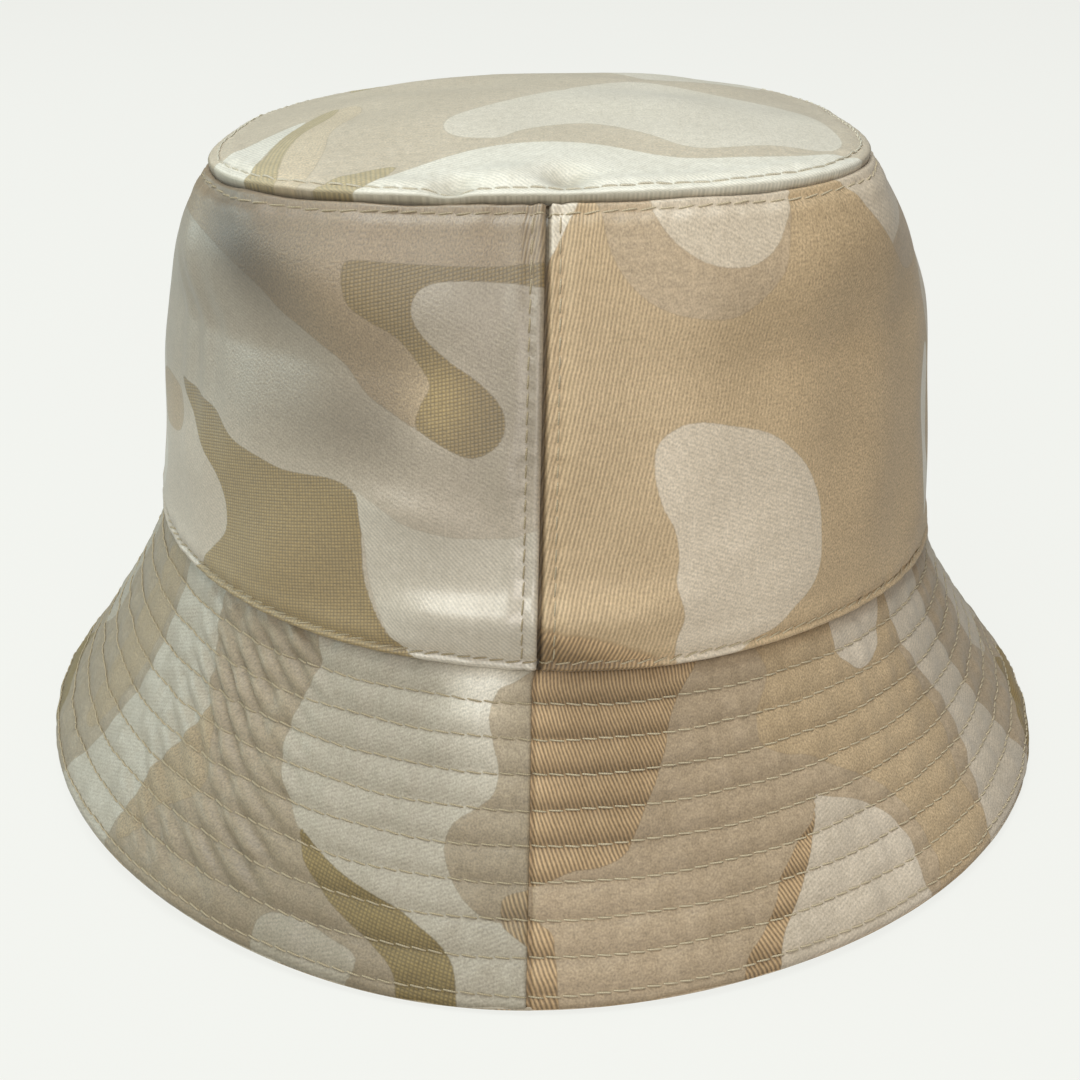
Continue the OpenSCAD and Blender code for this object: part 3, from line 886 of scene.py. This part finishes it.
def upright_row(turn):
    radius = WALL_GAUGE - 4

    def place(along, aside, lift):
        return wall_face(turn + aside / radius, UPRIGHT_START + along, lift)

    return stitch_row(place, UPRIGHT_WAY)


def upright_rows(middle):
    inset = (UPRIGHT_INSET + SEAM_LINE / 2) / (WALL_GAUGE - 2)
    sides = [middle - inset, middle + inset]
    return [upright_row((turn + np.pi) % (2 * np.pi) - np.pi) for turn in sides]


def make_stitching():
    top_row = TOP_R - TOP_INSET
    band_r = FOOT_R - LINING_FOOT_DEPTH - LINING - BAND
    brim_rows = [(s, brim_profile(s, 0.0)[0]) for s in ROW_PLACES]
    edge_r = brim_profile(EDGE_ROW, 0.0)[0]
    return [
        stitching("crown_top_stitching", [ring_row(top_face, top_row, top_row)], left_light=1.0),
        stitching("crown_wall_stitching", [ring_row(wall_face, WALL_ROW, TOP_R)]),
        stitching("front_seam_stitching", upright_rows(0.0)),
        stitching("back_seam_stitching", upright_rows(np.pi)),
        stitching("crown_foot_stitching", [ring_row(wall_face, FOOT_INSET, FOOT_R, slant=0.4)]),
        stitching("brim_row_stitching", [ring_row(brim_face, s, r) for s, r in brim_rows]),
        stitching("brim_row_under_stitching", [ring_row(under_face, s, r) for s, r in brim_rows]),
        stitching("brim_edge_stitching", [ring_row(brim_face, EDGE_ROW, edge_r)]),
        stitching("brim_edge_under_stitching", [ring_row(under_face, EDGE_ROW, edge_r)]),
        stitching("sweatband_stitching", [ring_row(band_face, BAND_INSET, band_r)]),
    ]


# Materials
def srgb(red, green, blue):
    """A colour as it is read off a screen, made linear."""
    c = np.array([red, green, blue]) / 255.0
    linear = np.where(c <= 0.04045, c / 12.92, ((c + 0.055) / 1.055) ** 2.4)
    return (*linear, 1.0)


def darker(colour, share):
    return (*(np.array(colour[:3]) * share), 1.0)


class Nodes:
    """The nodes of a material or a world."""

    def __init__(self, holder):
        holder.use_nodes = True
        self.tree = holder.node_tree

    def put(self, socket, value):
        if isinstance(value, bpy.types.NodeSocket):
            self.tree.links.new(value, socket)
        else:
            socket.default_value = value

    def node(self, kind, *values, **settings):
        """Adds a node with its settings, and with values for its first sockets."""
        node = self.tree.nodes.new("ShaderNode" + kind)
        for name, setting in settings.items():
            setattr(node, name, setting)
        for socket, value in zip(node.inputs, values):
            self.put(socket, value)
        return node

    def math(self, operation, *values, clamp=False):
        return self.node("Math", *values, operation=operation, use_clamp=clamp).outputs[0]

    def camera_ray(self):
        return self.node("LightPath").outputs["Is Camera Ray"]


class Shading(Nodes):
    """The nodes of one cloth. Each call adds nodes and gives back what comes out of them."""

    def __init__(self, name):
        self.material = bpy.data.materials.new(name)
        super().__init__(self.material)
        self.surface = self.tree.nodes["Principled BSDF"]
        place = self.node("UVMap", uv_map="cut").outputs["UV"]
        self.cut = self.scaled(place, (CUT_UNIT, CUT_UNIT, CUT_UNIT))
        self.u, self.v, _ = self.parts(self.cut)

    def parts(self, vector):
        return list(self.node("SeparateXYZ", vector).outputs)

    def scaled(self, vector, by):
        return self.node("VectorMath", vector, by, operation="MULTIPLY").outputs[0]

    def line(self, along_u, along_v, shift=0.0):
        """along_u * u + along_v * v + shift, in millimetres."""
        rest = self.math("MULTIPLY_ADD", self.v, along_v, shift)
        return self.math("MULTIPLY_ADD", self.u, along_u, rest)

    def wave(self, distance, pitch):
        """A wave from 0 to 1 that repeats after the pitch."""
        angle = self.math("MULTIPLY", distance, 2 * np.pi / pitch)
        return self.math("MULTIPLY_ADD", self.math("SINE", angle), 0.5, 0.5)

    def noise(self, fineness, detail=2.0):
        """Uneven shade from 0 to 1. The fineness is in spots per millimetre along u and v."""
        node = self.node("TexNoise", self.scaled(self.cut, (*fineness, 0.0)))
        node.inputs["Scale"].default_value = 1.0
        node.inputs["Detail"].default_value = detail
        return node.outputs[0]

    def grain(self, fineness):
        """Strong uneven shade of single yarns, from 0 to 1."""
        return self.math("MULTIPLY_ADD", self.noise(fineness, 3.0), 2.6, -0.8, clamp=True)

    def uneven(self, fineness, reach, detail=2.0):
        """Uneven light around 1."""
        return self.math("MULTIPLY_ADD", self.noise(fineness, detail), reach, 1 - reach / 2)

    def mix(self, share, first, second):
        """A colour between two."""
        node = self.node("Mix", share, data_type="RGBA")
        self.put(node.inputs[6], first)
        self.put(node.inputs[7], second)
        return node.outputs[2]

    def blend(self, share, first, second):
        """A number between two."""
        node = self.node("Mix", share)
        self.put(node.inputs[2], first)
        self.put(node.inputs[3], second)
        return node.outputs[0]

    def warm_shade(self, value):
        """Light left on each of red, green and blue. Shadows in the cloth are warmer than the light."""
        powers = [self.math("POWER", value, power) for power in (1.0, 1.07, 1.22)]
        return self.node("CombineXYZ", *powers).outputs[0]

    def attribute(self, name, output="Fac"):
        return self.node("Attribute", attribute_name=name).outputs[output]

    def cloth(self, colour, roughness, height, depth, gloss=0.3):
        """Sets the surface: a fibrous face with a raised weave, depth in millimetres."""
        bump = self.node("Bump")
        bump.inputs["Strength"].default_value = 0.8
        bump.inputs["Distance"].default_value = depth * MM
        self.put(bump.inputs["Height"], height)
        values = {"Base Color": colour, "Roughness": roughness, "Normal": bump.outputs[0]}
        values.update({"Sheen Weight": 0.1, "Sheen Roughness": 0.45, "Specular IOR Level": gloss})
        for name, value in values.items():
            self.put(self.surface.inputs[name], value)
        return self.material


# Weaves, each a height from 0 to 1
def waver(s, fineness, reach):
    """A small shift in millimetres that lets the lines of a weave waver."""
    return s.math("MULTIPLY", s.noise((fineness, fineness)), reach)


def with_grain(s, lines, share, fineness):
    """Lines of a weave with that share, and the grain of its yarns with the rest."""
    return s.math("MULTIPLY_ADD", lines, share, s.math("MULTIPLY", s.grain(fineness), 1 - share))


def satin_weave(s):
    return with_grain(s, s.wave(s.line(0.42, 0.91, waver(s, 0.4, 0.7)), 0.88), 0.22, (2.5, 2.1))


def fine_twill_weave(s):
    return with_grain(s, s.wave(s.line(0.71, 0.71, waver(s, 0.4, 0.6)), 0.72), 0.42, (2.4, 2.4))


def cloudy_weave(s):
    return with_grain(s, s.grain((2.4, 2.1)), 0.7, (0.5, 0.9))


def steep_ribs(s, lean):
    """Steep lines, like those of gabardine."""
    return s.wave(s.line(np.cos(lean), -np.sin(lean), waver(s, 0.2, 0.6)), 0.8)


def soft_rib_weave(s):
    """Ribs that are clear to the right of the front seam and fade further round."""
    fade = s.math("MULTIPLY_ADD", s.u, -0.008, 0.52, clamp=True)
    strength = s.math("MULTIPLY", fade, s.math("GREATER_THAN", s.u, -5.0))
    plain = s.math("MULTIPLY_ADD", s.grain((2.6, 2.0)), 0.6, 0.2)
    return s.blend(strength, plain, steep_ribs(s, 0.22))


def rib_weave(s):
    return with_grain(s, steep_ribs(s, 0.33), 0.75, (2.2, 1.4))


def basket_weave(s):
    warp = s.wave(s.line(0.998, 0.06), 0.76)
    weft = s.wave(s.line(-0.24, 0.97), 0.68)
    dots = s.math("SQRT", s.math("MULTIPLY", warp, weft))
    return with_grain(s, dots, 0.7, (1.6, 1.6))


# For each kind: colour, how dark its grooves are, weave, how much it stands up, roughness,
# and how strongly the painted shade along its stitched rows darkens it
WEAVES = {
    "pale": (srgb(211, 195, 174), 0.58, satin_weave, 0.3, 0.46, 0.05),
    "cream": (srgb(224, 212, 194), 0.58, fine_twill_weave, 0.2, 0.4, 0.05),
    "beige": (srgb(193, 170, 141), 0.5, cloudy_weave, 0.45, 0.5, 0.2),
    "tan": (srgb(211, 183, 145), 0.3, soft_rib_weave, 0.6, 0.55, 0.12),
    "khaki": (srgb(213, 179, 137), 0.28, rib_weave, 0.9, 0.5, 0.5),
    "olive": (srgb(180, 151, 93), 0.36, basket_weave, 0.6, 0.6, 0.3),
}
# A pale colour towards which the painted sheen of the top mixes its colours
PAINTED_SHEEN_COLOUR = srgb(226, 227, 214)
WEAVE_DEPTH = 0.16
PATCH_SHARPNESS = 1.6
BORDER_DARK = 0.5


def pattern_cloth(name, tone, gloss, density=1.5, painted_sheen=0.0):
    """The patterned cloth. The tone is painted light and shade for the whole piece and makes its colours
    lighter or darker; the painted sheen brings them together towards a pale colour.
    """
    s = Shading(name)
    scores = [s.parts(s.attribute(group, "Vector")) for group in ("pattern_light", "pattern_dark")]
    ragged = s.math("MULTIPLY_ADD", s.noise((1.1, 1.1)), 1.1, -0.05)
    colour = height = roughness = hollow = best = None
    border = 0.0
    for kind, score in zip(KINDS, scores[0] + scores[1]):
        light, groove, weave, stand, rough, painted_row_strength = WEAVES[kind]
        woven = weave(s)
        own = s.mix(woven, darker(light, groove), light)
        raised = s.math("MULTIPLY", woven, stand)
        if best is None:
            colour, height, roughness, hollow, best = own, raised, rough, painted_row_strength, score
            continue
        lead = s.math("SUBTRACT", score, best)
        share = s.math("MULTIPLY_ADD", lead, PATCH_SHARPNESS, ragged, clamp=True)
        colour = s.mix(share, colour, own)
        height = s.blend(share, height, raised)
        roughness = s.blend(share, roughness, rough)
        hollow = s.blend(share, hollow, painted_row_strength)
        rest = s.math("SUBTRACT", 1.0, share)
        border = s.math("MULTIPLY", rest, s.math("MAXIMUM", border, share))
        best = s.math("MAXIMUM", best, score)
    wash = s.uneven((0.06, 0.06), 0.2)
    mottle = s.uneven((0.7, 0.5), 0.36, 3.0)
    worn = s.math("MULTIPLY_ADD", border, -BORDER_DARK, 1.0)
    # Painted shade along the stitched rows
    rows = s.math("SUBTRACT", 1.0, s.math("MULTIPLY", hollow, s.attribute("rows")))
    shade = s.attribute("shade")
    for part in (wash, mottle, worn, rows):
        shade = s.math("MULTIPLY", shade, part)
    colour = s.scaled(s.mix(painted_sheen, colour, PAINTED_SHEEN_COLOUR), tone)
    s.surface.inputs["IOR"].default_value = density
    return s.cloth(s.scaled(colour, s.warm_shade(shade)), roughness, height, WEAVE_DEPTH, gloss)


def plain_weave_cloth(name, colour, pitch, groove, roughness):
    s = Shading(name)
    warp = s.wave(s.line(1.0, 0.0), pitch)
    weft = s.wave(s.line(0.0, 1.0), pitch)
    height = s.math("ABSOLUTE", s.math("SUBTRACT", warp, weft))
    return s.cloth(s.mix(height, darker(colour, groove), colour), roughness, height, 0.1)


def band_twill(name, colour):
    s = Shading(name)
    height = s.wave(s.line(0.7, 0.7), 0.9)
    return s.cloth(s.mix(height, darker(colour, 0.78), colour), 0.75, height, 0.15)


def felt_cloth(name, colour):
    s = Shading(name)
    height = s.noise((0.8, 0.8), 5.0)
    return s.cloth(s.mix(height, darker(colour, 0.8), colour), 0.9, height, 0.2)


def thread_cloth(name, colour):
    """Twisted thread, with painted shade where a stitch goes into the cloth and the painted shade given to
    its stitches.
    """
    s = Shading(name)
    twist = s.wave(s.line(1.0, 0.8), 0.42)
    end = s.math("MULTIPLY_ADD", s.math("ABSOLUTE", s.u), 2.4, 0.35 - 1.2 * STITCH_LENGTH, clamp=True)
    shade = s.math("MULTIPLY", s.attribute("shade"), s.math("MULTIPLY_ADD", end, -0.6, 1.0))
    colour = s.scaled(s.mix(twist, darker(colour, 0.72), colour), s.warm_shade(shade))
    return s.cloth(colour, 0.5, twist, 0.06)


# The hat
# The tones are painted light and shade: the top painted lighter and cooler, the left of wall and brim darker,
# the right of the wall lighter
TOP_CLOTH = pattern_cloth("top_cloth", (1.18, 1.22, 1.26), 0.3, painted_sheen=0.2)
WALL_CLOTH = {
    1: pattern_cloth("wall_cloth_right", (1.2, 1.2, 1.2), 0.6),
    -1: pattern_cloth("wall_cloth_left", (0.84, 0.83, 0.81), 0.75, 1.8),
}
BRIM_CLOTH = {
    1: pattern_cloth("brim_cloth_right", (0.94, 0.94, 0.94), 0.4),
    -1: pattern_cloth("brim_cloth_left", (0.65, 0.68, 0.675), 0.6),
}
LINING_CLOTH = plain_weave_cloth("lining_cloth", srgb(196, 186, 164), 0.5, 0.8, 0.6)
BAND_CLOTH = band_twill("sweatband_cloth", srgb(190, 176, 148))
CORE_CLOTH = felt_cloth("interlining", srgb(225, 222, 214))
THREAD_CLOTH = thread_cloth("thread", srgb(204, 188, 158))
# A lighter copy of the thread for the top, painted lighter to go with the top's painted light
TOP_THREAD_CLOTH = thread_cloth("top_thread", srgb(228, 220, 200))


BRIM_EDGE_R = float(brim_profile(BRIM_WIDTH, 0.0)[0])


def finish_piece(obj, material):
    obj.data.materials.append(material)
    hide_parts(obj.name.removesuffix("_piece"))
    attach(obj, "root")


for side in (1, -1):
    finish_piece(side_panel(side), WALL_CLOTH[side])
    finish_piece(brim_top(side), BRIM_CLOTH[side])
    finish_piece(brim_under(side), BRIM_CLOTH[side])
    finish_piece(brim_interlining(side), CORE_CLOTH)
    finish_piece(lining_side(side), LINING_CLOTH)
finish_piece(crown_top(), TOP_CLOTH)
finish_piece(lining_top(), LINING_CLOTH)
finish_piece(sweatband(), BAND_CLOTH)
for piece in make_stitching():
    on_top = piece.name.startswith("crown_top")
    finish_piece(piece, TOP_THREAD_CLOTH if on_top else THREAD_CLOTH)


# Stage, light and camera, in metres
FLOOR_Z = -0.0018
FLOOR_GLOW = 0.85
SKY_LIGHT = 0.1
PALE_SKY = 0.88
LIGHT_AIM = (0, 0, 0.08)
CAMERA_PLACE = (0.0, -0.340, 0.202)
CAMERA_DIP = np.radians(25.6)
CAMERA_LENS = 47.67
CAMERA_SENSOR = 36.0
CAMERA_SHIFT = -0.0065


def make_floor():
    """A pale floor that shows its own tone to the camera, with a soft shadow left in it."""
    bpy.ops.mesh.primitive_plane_add(size=12, location=(0, 3, FLOOR_Z))
    floor = bpy.context.object
    floor.name = "floor"
    material = bpy.data.materials.new("floor")
    s = Nodes(material)
    matt = s.tree.nodes["Principled BSDF"]
    s.put(matt.inputs["Base Color"], srgb(180, 180, 176))
    s.put(matt.inputs["Roughness"], 0.9)
    glow = s.node("Emission", srgb(251, 252, 247))
    share = s.math("MULTIPLY", s.camera_ray(), FLOOR_GLOW)
    both = s.node("MixShader", share, matt.outputs[0], glow.outputs[0])
    s.put(s.tree.nodes["Material Output"].inputs["Surface"], both.outputs[0])
    floor.data.materials.append(material)


def aim_rotation(direction):
    flat = np.hypot(direction[0], direction[1])
    return (np.arctan2(flat, -direction[2]), 0.0, np.arctan2(-direction[0], direction[1]))


def area_light(name, place, size, power, colour):
    light = bpy.data.lights.new(name, "AREA")
    light.shape = "SQUARE"
    light.size = size
    light.energy = power
    light.color = colour
    lamp = bpy.data.objects.new(name, light)
    lamp.location = place
    lamp.rotation_euler = aim_rotation(np.array(LIGHT_AIM) - np.array(place))
    bpy.context.scene.collection.objects.link(lamp)


def make_light():
    area_light("key", (0.9, -2.9, 0.55), 1.1, 28, (1.0, 0.95, 0.88))
    area_light("window", (-1.35, -2.2, 1.65), 0.9, 26, (0.99, 1.0, 0.94))
    area_light("side", (-2.6, 0.3, 0.9), 1.2, 26, (0.8, 1.0, 1.0))
    area_light("ceiling", (-0.2, -0.25, 2.4), 1.3, 46, (0.92, 0.99, 1.0))


def make_world():
    """A weak even light, which looks pale to the camera."""
    world = bpy.data.worlds.new("world")
    bpy.context.scene.world = world
    s = Nodes(world)
    sky = s.tree.nodes["Background"]
    s.put(sky.inputs["Color"], (1, 1, 1, 1))
    s.put(sky.inputs["Strength"], s.math("MULTIPLY_ADD", s.camera_ray(), PALE_SKY - SKY_LIGHT, SKY_LIGHT))


def make_camera():
    camera = bpy.data.cameras.new("camera")
    camera.lens = CAMERA_LENS
    camera.sensor_width = CAMERA_SENSOR
    camera.shift_x = CAMERA_SHIFT
    camera.clip_start = 0.01
    holder = bpy.data.objects.new("camera", camera)
    holder.location = CAMERA_PLACE
    holder.rotation_euler = (np.pi / 2 - CAMERA_DIP, 0.0, 0.0)
    bpy.context.scene.collection.objects.link(holder)
    bpy.context.scene.camera = holder


make_floor()
make_light()
make_world()
make_camera()
bpy.context.scene.view_settings.view_transform = "Standard"
